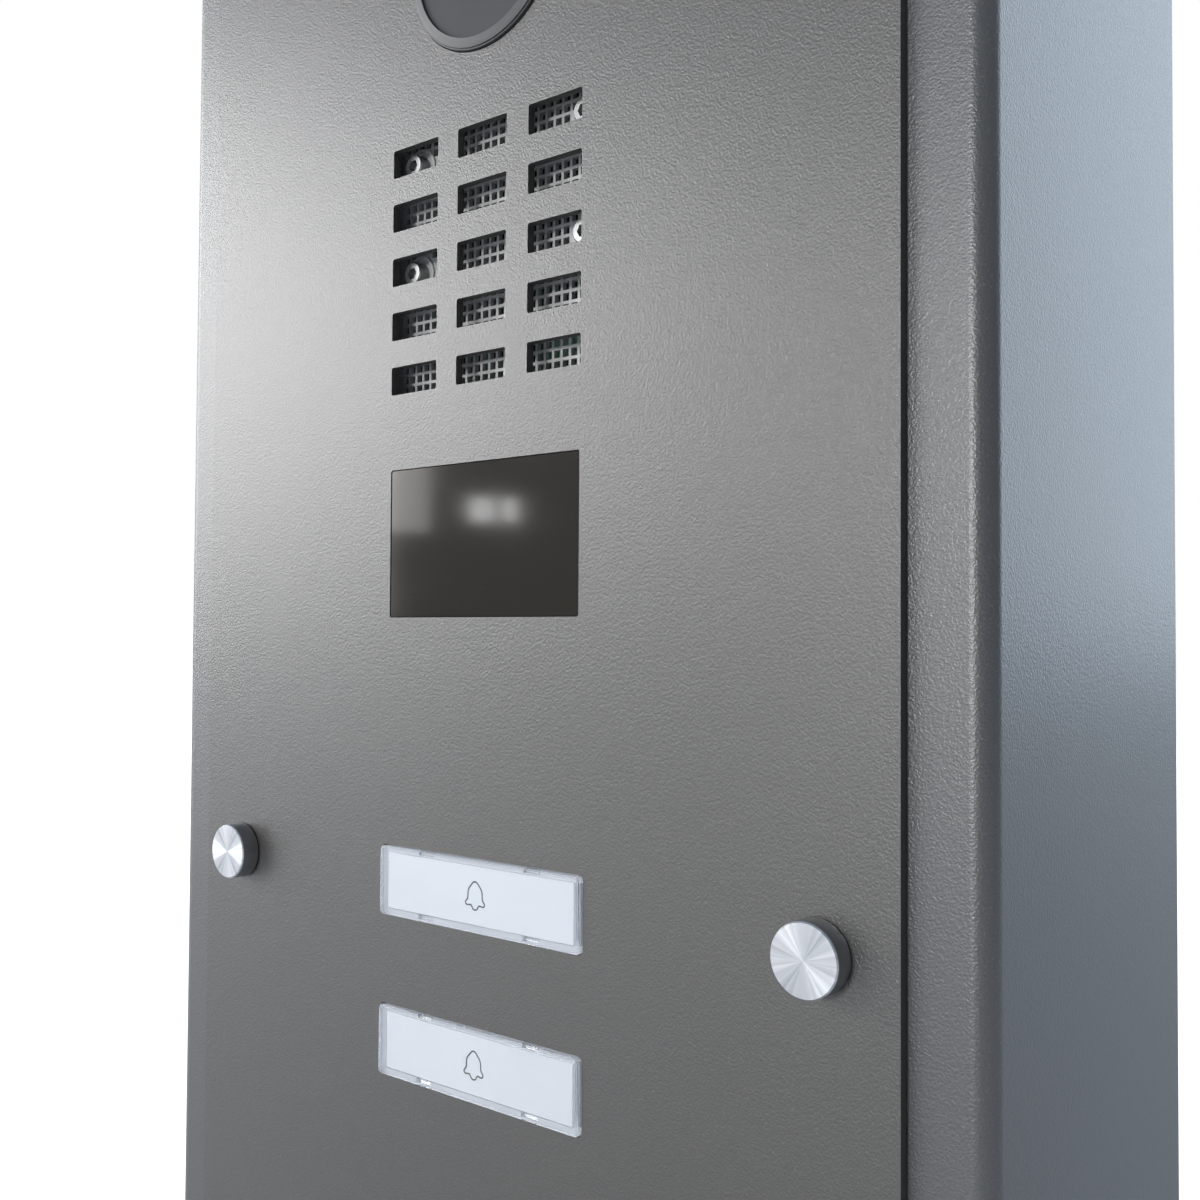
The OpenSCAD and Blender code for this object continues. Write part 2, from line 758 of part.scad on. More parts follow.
// Cone: a flat oval surround with a conical centre and a dust dome
module speaker_cone() {
    at = [0, speaker_z];
    front = speaker_front + 0.4;
    surround_t = 0.8;
    mouth_r = cone_h / 2 - 3;
    throat_r = 6;
    paper_t = 1;
    depth = 6;
    floor_front = front + depth - 0.6;
    dome_r = 5.2;
    color(black) {
        difference() {
            union() {
                slab(front, front + surround_t) translate([0, speaker_z])
                    round_rect(cone_w - 3, cone_h - 3, basket_r - 2);
                taper(at, mouth_r, throat_r, front, front + depth);
            }
            taper(at, mouth_r - paper_t, throat_r - paper_t, front - 0.01, floor_front);
        }
        intersection() {
            translate([0, floor_front + 3, speaker_z]) sphere(dome_r);
            rod(at, throat_r - paper_t, front + 2, floor_front);
        }
    }
}

module speaker_magnet() {
    rear = speaker_front + speaker_frame_t + basket_h;
    color(dark) {
        rod([0, speaker_z], magnet_r, rear, rear + magnet_h);
        rod([0, speaker_z], magnet_seat_r - clear, rear - 2 * basket_t, rear);
    }
}

module microphone() {
    color(steel) rod([0, mic_z], mic_r, lattice_rear + mic_pad, lattice_rear + mic_pad + mic_len);
}

module microphone_boot() {
    at = [0, mic_z];
    color(black) difference() {
        rod(at, mic_r + mic_boot_t, lattice_rear, lattice_rear + mic_pad + mic_len);
        rod(at, mic_r, lattice_rear + mic_pad, lattice_rear + mic_pad + mic_len + past);
        rod(at, mic_port_r, lattice_rear - past, lattice_rear + mic_pad + past);
    }
}

// ---- display window ----

module display_window() {
    color(black) {
        slab(plate_front + window_recess, plate_rear) translate([0, window_z])
            round_rect(window_w - 2 * clear, window_h - 2 * clear, window_corner_r - clear / 2);
        box_at(0, window_z, window_w + 2 * window_flange, window_h + 2 * window_flange,
            plate_rear, plate_rear + window_flange_t);
    }
}

module display_gasket() {
    front = plate_rear + window_flange_t;
    color(black) slab(front, front + window_gasket_t) translate([0, window_z]) difference() {
        square([window_w + 2 * window_flange, window_h + 2 * window_flange], center = true);
        square([window_w, window_h], center = true);
    }
}

module display_module() {
    front = plate_rear + window_flange_t + window_gasket_t;
    body_t = 3;
    screen_proud = 0.6;
    color(dark) {
        box_at(0, window_z, window_w + window_flange, window_h + window_flange, front, front + body_t);
        box_at(0, window_z, window_w - 1, window_h - 1, front - screen_proud, front);
    }
}

module display_bracket() {
    inner_w = bracket_w - 2 * bracket_t + 2 * clear;
    inner_h = bracket_h - 2 * bracket_t + 2 * clear;
    rear = plate_rear + bracket_depth;
    floor_t = 1.5;
    color(dark) difference() {
        union() {
            box_at(0, window_z, bracket_w, bracket_h, plate_rear, rear);
            for (p = window_studs)
                box_at(p[0] - sign(p[0]), p[1], ear_w, ear_w, plate_rear, plate_rear + bracket_t);
        }
        box_at(0, window_z, inner_w, inner_h, plate_rear - past, rear - floor_t);
        box_at(0, window_z, window_w - 12, window_h - 10, plate_rear, rear + past);
        for (p = window_studs) rod(p, screw_hole_r, plate_rear - past, rear);
    }
}

// ---- call buttons ----

// Cap: a clear slab with eased front edges, a pocket for the label behind it, and four clips
module button_cap(z) {
    ease_steps = 3;
    color(clear_plastic) translate([0, 0, z]) {
        difference() {
            for (k = [0:ease_steps]) {
                drop = cap_edge_r * (1 - cos(k * 90 / ease_steps));
                inset = cap_edge_r * (1 - sin(k * 90 / ease_steps));
                slab(cap_front + drop, cap_rear)
                    round_rect(cap_w - 2 * inset, cap_h - 2 * inset, cap_corner_r - inset);
            }
            slab(label_front - pocket_gap, cap_rear + past)
                square([label_w + 2 * pocket_gap, label_h + 2 * pocket_gap], center = true);
        }
        clip_places() box_at(0, 0, clip_w, clip_h, cap_rear, cap_rear + clip_len);
    }
}

// Puts a child at each of the cap's four clips, in the middle of the rim
module clip_places() {
    for (sx = [-1, 1], sz = [-1, 1])
        translate([sx * clip_x, 0, sz * (cap_h + label_h) / 4]) children();
}

module button_label(z) {
    color("white") box_at(0, z, label_w, label_h, label_front, label_front + label_t);
}

// Opal light guide: it backs the label and the cap's rim, takes the cap's clips, and its lip
// stops the button against the plate's rear face
module button_light_guide(z) {
    clip_gap = 0.1;
    color(opal) translate([0, 0, z]) {
        box_at(0, 0, label_w, label_h, label_front + label_t, cap_rear);
        difference() {
            union() {
                slab(cap_rear, cap_lip_rear) round_rect(cap_w, cap_h, cap_corner_r);
                slab(cap_lip_front, cap_lip_rear)
                    square([cap_w + 2 * cap_lip, cap_h + 2 * cap_lip], center = true);
            }
            clip_places()
                box_at(0, 0, clip_w + 2 * clip_gap, clip_h + 2 * clip_gap,
                    cap_rear - past, cap_rear + clip_len + clip_gap);
        }
        box_at(0, 0, guide_boss[0], guide_boss[1], cap_lip_rear, cap_lip_rear + guide_boss[2]);
    }
}

// Pin that carries the button's movement to its switch
module button_actuator(z) {
    front = cap_lip_rear + guide_boss[2];
    color(dark) {
        rod([0, z], actuator_r, front, frame_rear + actuator_in);
        rod([0, z], 3, front, front + 0.8);
    }
}

module button_frame(z) {
    inner_w = frame_w - 2 * frame_wall;
    inner_h = frame_h - 2 * frame_wall;
    color(dark) difference() {
        union() {
            box_at(0, z, frame_w, frame_h, plate_rear, frame_rear);
            box_at(0, z, 2 * frame_studs_x + ear_w, ear_w, plate_rear, plate_rear + frame_wall);
        }
        box_at(0, z, inner_w, inner_h, plate_rear - past, frame_rear - frame_rear_t);
        rod([0, z], actuator_r + 1, frame_rear - frame_rear_t - past, frame_rear + past);
        for (s = [-1, 1]) {
            rod([s * frame_studs_x, z], screw_hole_r, plate_rear - past, plate_rear + frame_wall + past);
            box_at(s * frame_slot_x, z, lamp_slot[0], lamp_slot[1],
                frame_rear - frame_rear_t - past, frame_rear + past);
        }
    }
}

// Push switch on the button board: a square body whose bore guides the actuator
module button_switch(z) {
    color(black) difference() {
        box_at(0, z, switch_s, switch_s, frame_rear, frame_rear + switch_h);
        rod([0, z], actuator_r + run_fit,
            frame_rear - past, frame_rear + actuator_in + clear + button_travel);
    }
}

// Button board with a lamp beside each switch and a connector on the rear
module button_board() {
    mid = (buttons_z[0] + buttons_z[1]) / 2;
    front = button_board_front;
    rear = front + board_t;
    color(green) difference() {
        union() {
            box_at(0, mid, button_board_w, button_board_h, front, rear);
            for (z = buttons_z, s = [-1, 1]) box_at(s * frame_slot_x, z, lamp[0], lamp[1], front - lamp[2], front);
            box_at(0, mid, 16, 6, rear, rear + 6);
        }
        for (z = buttons_z, s = [-1, 1]) rod([s * board_screw_x, z], screw_hole_r, front - past, rear + past);
    }
}

// Screws of the button board, each with its spacer sleeve against the button's frame
module button_board_screws() {
    sleeve_r = 2.6;
    rear = button_board_front + board_t;
    color(steel) for (z = buttons_z, s = [-1, 1]) {
        at = [s * board_screw_x, z];
        rod(at, sleeve_r, frame_rear, button_board_front);
        rod(at, screw_r, button_board_front, rear);
        rod(at, head_r, rear, rear + head_h);
    }
}

module button_1_frame() { button_frame(buttons_z[0]); }
module button_2_frame() { button_frame(buttons_z[1]); }
module button_1_switch() { button_switch(buttons_z[0]); }
module button_2_switch() { button_switch(buttons_z[1]); }
module button_1_cap() { button_cap(buttons_z[0]); }
module button_2_cap() { button_cap(buttons_z[1]); }
module button_1_label() { button_label(buttons_z[0]); }
module button_2_label() { button_label(buttons_z[1]); }
module button_1_light_guide() { button_light_guide(buttons_z[0]); }
module button_2_light_guide() { button_light_guide(buttons_z[1]); }
module button_1_actuator() { button_actuator(buttons_z[0]); }
module button_2_actuator() { button_actuator(buttons_z[1]); }

// ---- electronics ----

module main_board() {
    color(green) difference() {
        box_at(0, main_z, board_w, board_h, main_front, main_rear);
        for (p = spacers_at) rod(p, screw_hole_r, main_front - past, main_rear + past);
    }
}

// Chips, sockets and capacitors soldered to the rear of the main board
module main_board_parts() {
    // x, height above the board's middle, width, height, depth
    blocks = [[-12, 38, 24, 24, 1.8], [22, 44, 14, 11, 1.2], [24, 20, 16, 22, 13],
        [-14, -30, 20, 16, 13.5], [12, -32, 10, 10, 5]];
    capacitor_r = 4;
    capacitor_len = 11;
    color(black) {
        for (b = blocks) box_at(b[0], main_z + b[1], b[2], b[3], main_rear, main_rear + b[4]);
        for (x = [-30, -19, -8]) rod([x, main_z + 5], capacitor_r, main_rear, main_rear + capacitor_len);
    }
}

module board_spacers() {
    color(steel) for (p = spacers_at) hex_nut(p, screw_r, 2 * spacer_r, plate_rear, main_front);
}

module rear_cover() {
    rear = main_rear + cover_depth;
    rim_rear = main_rear + cover_wall;
    inner_w = cover_w - 2 * cover_wall;
    inner_h = cover_h - 2 * cover_wall;
    vent = [3, 40];
    vent_dx = 8;
    color(dark) difference() {
        union() {
            box_at(0, cover_z, cover_w, cover_h, main_rear, rear);
            box_at(0, main_z, board_w, board_h, main_rear, rim_rear);
        }
        box_at(0, cover_z, inner_w, inner_h, main_rear - past, rear - cover_wall);
        box_at(0, terminal_z, terminal_w + 2, terminal_h + 8, main_rear - past, rim_rear + past);
        for (k = [-4:4])
            box_at(k * vent_dx, cover_z + 30, vent[0], vent[1], rear - cover_wall - past, rear + past);
        for (p = spacers_at) rod(p, screw_hole_r, main_rear - past, rim_rear + past);
    }
}

module cover_screws() {
    color(steel) for (p = spacers_at) {
        rod(p, screw_r, main_front - 8, main_rear + cover_wall);
        rod(p, head_r, main_rear + cover_wall, main_rear + cover_wall + head_h);
    }
}

module terminal_block() {
    wire_y = main_rear + 5;
    wire_r = 1.6;
    wire_len = 6;
    color([0.1, 0.3, 0.2]) difference() {
        box_at(0, terminal_z, terminal_w, terminal_h, main_rear, main_rear + terminal_d);
        for (x = poles_x) {
            rod([x, terminal_z], terminal_screw_r + 0.1, terminal_screw_seat, main_rear + terminal_d + past);
            translate([x, wire_y, terminal_z - terminal_h / 2 - past])
                cylinder(h = wire_len + past, r = wire_r);
        }
    }
}

module terminal_screws() {
    screw_rear = main_rear + terminal_d - 1;
    slot_t = 0.6;
    slot_depth = 0.8;
    color(steel) for (x = poles_x) difference() {
        rod([x, terminal_z], terminal_screw_r, terminal_screw_seat, screw_rear);
        box_at(x, terminal_z, 2 * head_r, slot_t, screw_rear - slot_depth, screw_rear + past);
    }
}

housing_shell();
back_plate();
back_plate_screws();
rivet_nuts();
cable_grommet();
earth_stud();
earth_nut();
plate_seal();
front_plate();
weld_studs();
module_nuts();
plate_hooks();
fixing_bushes();
knob_washers();
camera_ring();
camera_trim();
camera_window();
camera_housing();
camera_lens_barrel();
camera_lens();
camera_board();
camera_board_screws();
sound_lattice();
speaker_screws();
speaker_gasket();
speaker_frame();
speaker_cone();
speaker_magnet();
microphone();
microphone_boot();
display_window();
display_gasket();
display_module();
display_bracket();
button_1_frame();
button_2_frame();
button_1_switch();
button_2_switch();
button_board();
button_board_screws();
main_board();
main_board_parts();
board_spacers();
rear_cover();
cover_screws();
terminal_block();
terminal_screws();
button_1_cap();
button_1_label();
button_1_light_guide();
button_1_actuator();
button_2_cap();
button_2_label();
button_2_light_guide();
button_2_actuator();
knob_left();
knob_left_stud();
knob_right();
knob_right_stud();
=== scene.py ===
"""Looks of the door intercom panel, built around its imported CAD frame."""

import json
import math

import bpy
from mathutils import Matrix, Vector


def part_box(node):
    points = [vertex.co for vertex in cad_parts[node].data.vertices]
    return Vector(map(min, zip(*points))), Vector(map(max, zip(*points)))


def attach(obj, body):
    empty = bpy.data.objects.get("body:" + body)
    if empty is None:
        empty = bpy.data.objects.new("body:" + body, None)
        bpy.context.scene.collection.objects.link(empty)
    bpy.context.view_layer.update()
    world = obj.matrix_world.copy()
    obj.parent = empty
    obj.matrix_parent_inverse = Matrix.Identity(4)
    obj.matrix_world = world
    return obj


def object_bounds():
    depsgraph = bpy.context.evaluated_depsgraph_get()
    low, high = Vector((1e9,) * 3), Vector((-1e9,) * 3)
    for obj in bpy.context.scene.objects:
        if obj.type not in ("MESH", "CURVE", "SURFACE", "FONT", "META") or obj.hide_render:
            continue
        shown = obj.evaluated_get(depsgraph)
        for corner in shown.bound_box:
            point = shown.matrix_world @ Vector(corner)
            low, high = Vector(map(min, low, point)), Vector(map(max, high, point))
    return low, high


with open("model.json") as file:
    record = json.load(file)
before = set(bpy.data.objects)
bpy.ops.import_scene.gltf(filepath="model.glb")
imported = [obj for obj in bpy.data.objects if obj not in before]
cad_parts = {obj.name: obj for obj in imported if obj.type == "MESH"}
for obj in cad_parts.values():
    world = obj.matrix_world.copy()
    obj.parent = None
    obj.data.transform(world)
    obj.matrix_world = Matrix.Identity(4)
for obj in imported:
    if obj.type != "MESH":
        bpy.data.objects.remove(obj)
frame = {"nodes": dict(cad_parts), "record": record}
cad_low, cad_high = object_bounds()
nodes = frame["nodes"]
MM = 0.001


# ---- node helpers ----

class Surface:
    """A Principled material whose patterns are read in the part's own metres."""

    def __init__(self, name, **values):
        self.material = bpy.data.materials.new(name)
        self.material.use_nodes = True
        self.tree = self.material.node_tree
        self.shader = self.tree.nodes["Principled BSDF"]
        self.output = self.tree.nodes["Material Output"]
        self.place = self.add("ShaderNodeTexCoord")
        for socket, value in values.items():
            self.shader.inputs[socket.replace("_", " ")].default_value = value

    def add(self, kind, **settings):
        node = self.tree.nodes.new(kind)
        for key, value in settings.items():
            setattr(node, key, value)
        return node

    def link(self, start, end):
        self.tree.links.new(start, end)

    def noise(self, size_mm, detail=3.0, roughness=0.55, stretch=(1, 1, 1)):
        """Noise whose features are about size_mm across, stretched along the axes given."""
        spread = self.add("ShaderNodeMapping")
        spread.inputs["Scale"].default_value = stretch
        self.link(self.place.outputs["Object"], spread.inputs["Vector"])
        noise = self.add("ShaderNodeTexNoise")
        noise.inputs["Scale"].default_value = 1.0 / (size_mm * MM)
        noise.inputs["Detail"].default_value = detail
        noise.inputs["Roughness"].default_value = roughness
        self.link(spread.outputs["Vector"], noise.inputs["Vector"])
        return noise.outputs["Fac"]

    def ramp(self, source, *stops):
        """Colour ramp through (position, colour) stops."""
        ramp = self.add("ShaderNodeValToRGB")
        elements = ramp.color_ramp.elements
        while len(elements) < len(stops):
            elements.new(0.5)
        for element, (position, colour) in zip(elements, stops):
            element.position = position
            element.color = (*colour, 1.0)
        self.link(source, ramp.inputs["Fac"])
        return ramp.outputs["Color"]

    def span(self, source, low, high):
        """Maps 0..1 to low..high."""
        mapped = self.add("ShaderNodeMapRange")
        mapped.inputs["To Min"].default_value = low
        mapped.inputs["To Max"].default_value = high
        self.link(source, mapped.inputs["Value"])
        return mapped.outputs["Result"]

    def blend(self, factor, first, second):
        """Mixes two colours, each a socket or a tuple."""
        mix = self.add("ShaderNodeMix", data_type="RGBA")
        for number, value in ((0, factor), (6, first), (7, second)):
            socket = mix.inputs[number]
            if isinstance(value, (tuple, float, int)):
                socket.default_value = (*value, 1.0) if isinstance(value, tuple) else value
            else:
                self.link(value, socket)
        return mix.outputs[2]

    def math(self, operation, *values):
        node = self.add("ShaderNodeMath", operation=operation)
        for socket, value in zip(node.inputs, values):
            if isinstance(value, (int, float)):
                socket.default_value = value
            else:
                self.link(value, socket)
        return node.outputs[0]

    def grey(self, value):
        """A value as a grey colour."""
        joined = self.add("ShaderNodeCombineXYZ")
        for axis in "XYZ":
            self.link(value, joined.inputs[axis])
        return joined.outputs["Vector"]

    def depthwise(self):
        """How far the surface faces the front or the back, from 0 to 1."""
        normal = self.add("ShaderNodeSeparateXYZ")
        self.link(self.place.outputs["Normal"], normal.inputs["Vector"])
        return self.math("ABSOLUTE", normal.outputs["Y"])

    def colour(self, source):
        self.link(source, self.shader.inputs["Base Color"])

    def rough(self, source):
        self.link(source, self.shader.inputs["Roughness"])

    def bump(self, *layers):
        """Each layer is (height source, depth in mm)."""
        normal = None
        for source, depth_mm in layers:
            bump = self.add("ShaderNodeBump")
            bump.inputs["Strength"].default_value = 1.0
            bump.inputs["Distance"].default_value = depth_mm * MM
            self.link(source, bump.inputs["Height"])
            if normal is not None:
                self.link(normal, bump.inputs["Normal"])
            normal = bump.outputs["Normal"]
        self.link(normal, self.shader.inputs["Normal"])


# ---- materials ----

COAT_SHADES = (0.86, 1.14, 2.2)    # dark grain, light grain, specks: shares of the coat's colour
# dark brown painted shade for faces that turn sideways, as in the plate's gaps and slots
SIDE_SHADE_COLOUR = (0.020, 0.017, 0.014)
EDGE_ROUGHNESS = (0.7, 0.7, 0.7)


def powder_coat(name, colour, painted_side_shade=False):
    """Textured powder coat with a fine orange-peel relief.

    Faces that turn sideways, such as the plate's edges and slot walls, can get a painted shade: a dark
    brown colour, rougher than the coat.
    """
    s = Surface(name, Specular_IOR_Level=1.0)
    peel = s.noise(0.45, detail=1.5, roughness=0.5)
    fine = s.noise(0.35, detail=2)
    specks = s.ramp(s.noise(0.5, detail=1), (0.66, (0, 0, 0)), (0.72, (0.5, 0.5, 0.5)))
    cloud = s.noise(35, detail=3)
    roughness = s.span(fine, 0.33, 0.43)
    dark, light, speck = (tuple(c * share for c in colour) for share in COAT_SHADES)
    grain = s.ramp(fine, (0.35, dark), (0.65, light))
    coat = s.blend(s.span(cloud, 0.0, 0.3), grain, dark)
    coat = s.blend(specks, coat, speck)
    # painted shade: faces turned sideways take the dark colour
    if painted_side_shade:
        edge = s.math("LESS_THAN", s.depthwise(), 0.4)
        coat = s.blend(edge, coat, SIDE_SHADE_COLOUR)
        roughness = s.blend(edge, s.grey(roughness), EDGE_ROUGHNESS)
    s.rough(roughness)
    s.colour(coat)
    s.bump((peel, 0.09), (fine, 0.025))
    return s.material


def moulded(name, colour, roughness=0.5, grain=0.3, specular=0.5):
    s = Surface(name, Specular_IOR_Level=specular)
    fine = s.noise(grain, detail=2)
    cloud = s.noise(12, detail=2)
    darker = tuple(c * 0.75 for c in colour)
    s.colour(s.blend(s.span(cloud, 0.2, 0.8), colour, darker))
    s.rough(s.span(fine, roughness - 0.07, roughness + 0.09))
    s.bump((fine, 0.006))
    return s.material


def rubber(name, colour):
    s = Surface(name, Specular_IOR_Level=0.3)
    fine = s.noise(0.2, detail=3)
    dust = s.noise(6, detail=4)
    s.colour(s.blend(s.span(dust, 0.0, 0.5), colour, tuple(c * 1.7 for c in colour)))
    s.rough(s.span(fine, 0.65, 0.85))
    s.bump((fine, 0.01))
    return s.material


def zinc():
    s = Surface("zinc_steel", Metallic=1.0)
    fine = s.noise(0.3, detail=3)
    stain = s.noise(5, detail=4)
    s.colour(s.ramp(stain, (0.3, (0.22, 0.22, 0.23)), (0.7, (0.34, 0.34, 0.33))))
    s.rough(s.span(fine, 0.3, 0.48))
    s.bump((fine, 0.004))
    return s.material


def turned_aluminium():
    """Face turned in fine circles, with bright radial sectors painted into its colour as highlights;
    side satin and darker.
    """
    s = Surface("knob_aluminium", Metallic=1.0, Anisotropic=0.7)
    tangent = s.add("ShaderNodeTangent", direction_type="RADIAL", axis="Y")
    s.link(tangent.outputs["Tangent"], s.shader.inputs["Tangent"])
    split = s.add("ShaderNodeSeparateXYZ")
    s.link(s.place.outputs["Generated"], split.inputs["Vector"])
    across = s.math("SUBTRACT", split.outputs["X"], 0.5)
    up = s.math("SUBTRACT", split.outputs["Z"], 0.5)
    squares = s.math("ADD", s.math("MULTIPLY", across, across), s.math("MULTIPLY", up, up))
    radius = s.math("SQRT", squares)
    angle = s.math("ARCTAN2", up, across)
    grooves = s.add("ShaderNodeTexNoise", noise_dimensions="1D")
    grooves.inputs["Scale"].default_value = 90
    grooves.inputs["Detail"].default_value = 4
    s.link(radius, grooves.inputs["W"])
    # painted highlight: bright radial sectors put into the face's colour
    painted_highlight_rays = s.add("ShaderNodeTexNoise", noise_dimensions="1D")
    painted_highlight_rays.inputs["Scale"].default_value = 4.5
    painted_highlight_rays.inputs["Detail"].default_value = 3
    s.link(s.math("ABSOLUTE", s.math("SINE", angle)), painted_highlight_rays.inputs["W"])
    facing = s.math("GREATER_THAN", s.depthwise(), 0.6)
    face_with_painted_highlights = s.ramp(painted_highlight_rays.outputs["Fac"], (0.35, (0.38, 0.40, 0.43)), (0.65, (0.66, 0.66, 0.68)))
    s.colour(s.blend(facing, (0.40, 0.42, 0.44), face_with_painted_highlights))
    s.rough(s.span(grooves.outputs["Fac"], 0.32, 0.44))
    s.bump((grooves.outputs["Fac"], 0.004))
    return s.material


def window_glass():
    s = Surface("display_glass", Base_Color=(0.006, 0.006, 0.006, 1), Specular_IOR_Level=0.7)
    specks = s.noise(0.7, detail=1)
    smear = s.noise(14, detail=4)
    dust = s.ramp(specks, (0.80, (0.022, 0.019, 0.015)), (0.84, (0.14, 0.14, 0.13)))
    s.colour(dust)
    s.rough(s.span(smear, 0.05, 0.09))
    return s.material


def smoked_disc():
    s = Surface("lens_window", Specular_IOR_Level=0.15)
    fine = s.noise(0.5, detail=2)
    cloud = s.noise(20, detail=2)
    s.colour(s.blend(s.span(cloud, 0, 1), (0.052, 0.052, 0.053), (0.062, 0.062, 0.064)))
    s.rough(s.span(fine, 0.40, 0.46))
    return s.material


def clear_plastic():
    """Clear moulded plastic that lets light through to what lies behind it."""
    s = Surface("clear_plastic", Base_Color=(0.97, 0.98, 1.0, 1), IOR=1.49, Transmission_Weight=1.0)
    ripple = s.noise(4, detail=2)
    s.rough(s.span(ripple, 0.02, 0.06))
    s.bump((ripple, 0.004))
    through = s.add("ShaderNodeBsdfTransparent")
    path = s.add("ShaderNodeLightPath")
    mix = s.add("ShaderNodeMixShader")
    passes = s.math("MAXIMUM", path.outputs["Is Shadow Ray"], path.outputs["Is Diffuse Ray"])
    s.link(passes, mix.inputs[0])
    s.link(s.shader.outputs[0], mix.inputs[1])
    s.link(through.outputs[0], mix.inputs[2])
    s.link(mix.outputs[0], s.output.inputs["Surface"])
    return s.material


def label_paper():
    s = Surface("label_paper", Specular_IOR_Level=0.3)
    fibre = s.noise(0.5, detail=4, stretch=(1, 1, 2.5))
    tone = s.noise(25, detail=2)
    s.colour(s.blend(s.span(tone, 0, 1), (0.52, 0.54, 0.565), (0.56, 0.58, 0.605)))
    s.rough(s.span(fibre, 0.55, 0.7))
    s.bump((fibre, 0.003))
    return s.material


def circuit_board():
    s = Surface("circuit_board", Coat_Weight=0.4)
    weave = s.noise(0.8, detail=2, stretch=(6, 1, 1))
    tracks = s.add("ShaderNodeTexBrick", offset=0.5)
    tracks.inputs["Scale"].default_value = 260
    tracks.inputs["Mortar Size"].default_value = 0.06
    tracks.inputs["Color1"].default_value = (0.012, 0.11, 0.05, 1)
    tracks.inputs["Color2"].default_value = (0.015, 0.14, 0.06, 1)
    tracks.inputs["Mortar"].default_value = (0.03, 0.22, 0.10, 1)
    turn = s.add("ShaderNodeMapping")
    turn.inputs["Rotation"].default_value = (math.radians(90), 0, 0)
    s.link(s.place.outputs["Object"], turn.inputs["Vector"])
    s.link(turn.outputs["Vector"], tracks.inputs["Vector"])
    s.colour(tracks.outputs["Color"])
    s.rough(s.span(weave, 0.3, 0.45))
    s.bump((weave, 0.004))
    return s.material


MATERIALS = {
    "powder_coat": powder_coat("powder_coat", (0.060, 0.060, 0.060)),
    "opal_plastic": moulded("opal_plastic", (0.62, 0.65, 0.70), 0.3, 0.6),
    "grille_grey": moulded("grille_grey", (0.50, 0.50, 0.49), 0.35),
    "black_rubber": rubber("black_rubber", (0.018, 0.018, 0.018)),
    "foam": rubber("foam", (0.022, 0.022, 0.022)),
    "black_plastic": moulded("black_plastic", (0.028, 0.028, 0.029), 0.45),
    "trim_grey": moulded("trim_grey", (0.085, 0.085, 0.086), 0.45, specular=0.3),
    "lens_window": smoked_disc(),
    "lens_glass": moulded("lens_glass", (0.004, 0.004, 0.008), 0.08, 3),
    "display_glass": window_glass(),
    "clear_plastic": clear_plastic(),
    "label_paper": label_paper(),
    "knob_aluminium": turned_aluminium(),
    "zinc_steel": zinc(),
    "circuit_board": circuit_board(),
    "component_black": moulded("component_black", (0.03, 0.03, 0.032), 0.55),
    "terminal_green": moulded("terminal_green", (0.02, 0.16, 0.07), 0.4),
    "speaker_paper": moulded("speaker_paper", (0.02, 0.02, 0.02), 0.85, 0.8),
    "magnet": moulded("magnet", (0.05, 0.05, 0.052), 0.6, 0.5),
}

OWN_FINISH = {
    # the plate's edges and slot walls get painted shade
    "front_plate": powder_coat("front_plate_coat", (0.052, 0.048, 0.044), painted_side_shade=True),
}

for row in frame["record"]["subparts"]:
    piece = nodes[row["node"]]
    piece.data.materials.clear()
    piece.data.materials.append(OWN_FINISH.get(row["node"], MATERIALS[row["material_slot"]]))


# ---- eased edges on the pieces that show ----

EASED = (    # node, width of the eased edge in mm
    ("front_plate", 0.25), ("camera_ring", 0.3), ("camera_trim", 0.15),
    ("knob_left", 0.15), ("knob_right", 0.15), ("display_window", 0.15),
)
SHARP = math.radians(35)    # edges that turn by more than this are eased


def ease_edges(node, width_mm):
    """Rounds a piece's sharp edges a little, so that they catch light."""
    piece = nodes[node]
    weld = piece.modifiers.new("weld", "WELD")
    weld.merge_threshold = 1e-6
    bevel = piece.modifiers.new("ease", "BEVEL")
    bevel.width = width_mm * MM
    bevel.segments = 3
    bevel.limit_method = "ANGLE"
    bevel.angle_limit = SHARP
    bevel.harden_normals = False


for node, width in EASED:
    ease_edges(node, width)


# ---- bell outline on each label ----

BELL_SIZE = (5.7 * MM, 6.1 * MM)
BELL_LINE = 0.34 * MM
INK_DEPTH = 0.03 * MM
CURVE_STEPS = 5    # between two points of the bell's outline
HALF_BELL = (    # from the crown to the clapper, in half widths and half heights
    (0.0, 1.0), (0.2, 0.94), (0.43, 0.72), (0.64, 0.50), (0.74, 0.26),
    (0.76, -0.04), (0.80, -0.26), (0.99, -0.48), (0.98, -0.63), (0.84, -0.70),
    (0.46, -0.67), (0.34, -0.76), (0.22, -0.94), (0.0, -1.0),
)


def bell_points(width, height):
    """The half outline as a smooth curve through its points, mirrored into a closed loop."""
    smooth = []
    last = len(HALF_BELL) - 1
    for i in range(last):
        before, start = HALF_BELL[max(i - 1, 0)], HALF_BELL[i]
        end, after = HALF_BELL[i + 1], HALF_BELL[min(i + 2, last)]
        for k in range(CURVE_STEPS):
            t = k / CURVE_STEPS
            smooth.append(tuple(
                0.5 * (2 * b + (c - a) * t + (2 * a - 5 * b + 4 * c - d) * t * t
                       + (3 * b - a - 3 * c + d) * t ** 3)
                for a, b, c, d in zip(before, start, end, after)))
    smooth.append(HALF_BELL[-1])
    loop = smooth + [(-x, z) for x, z in reversed(smooth[1:-1])]
    return [(x * width / 2, z * height / 2) for x, z in loop]


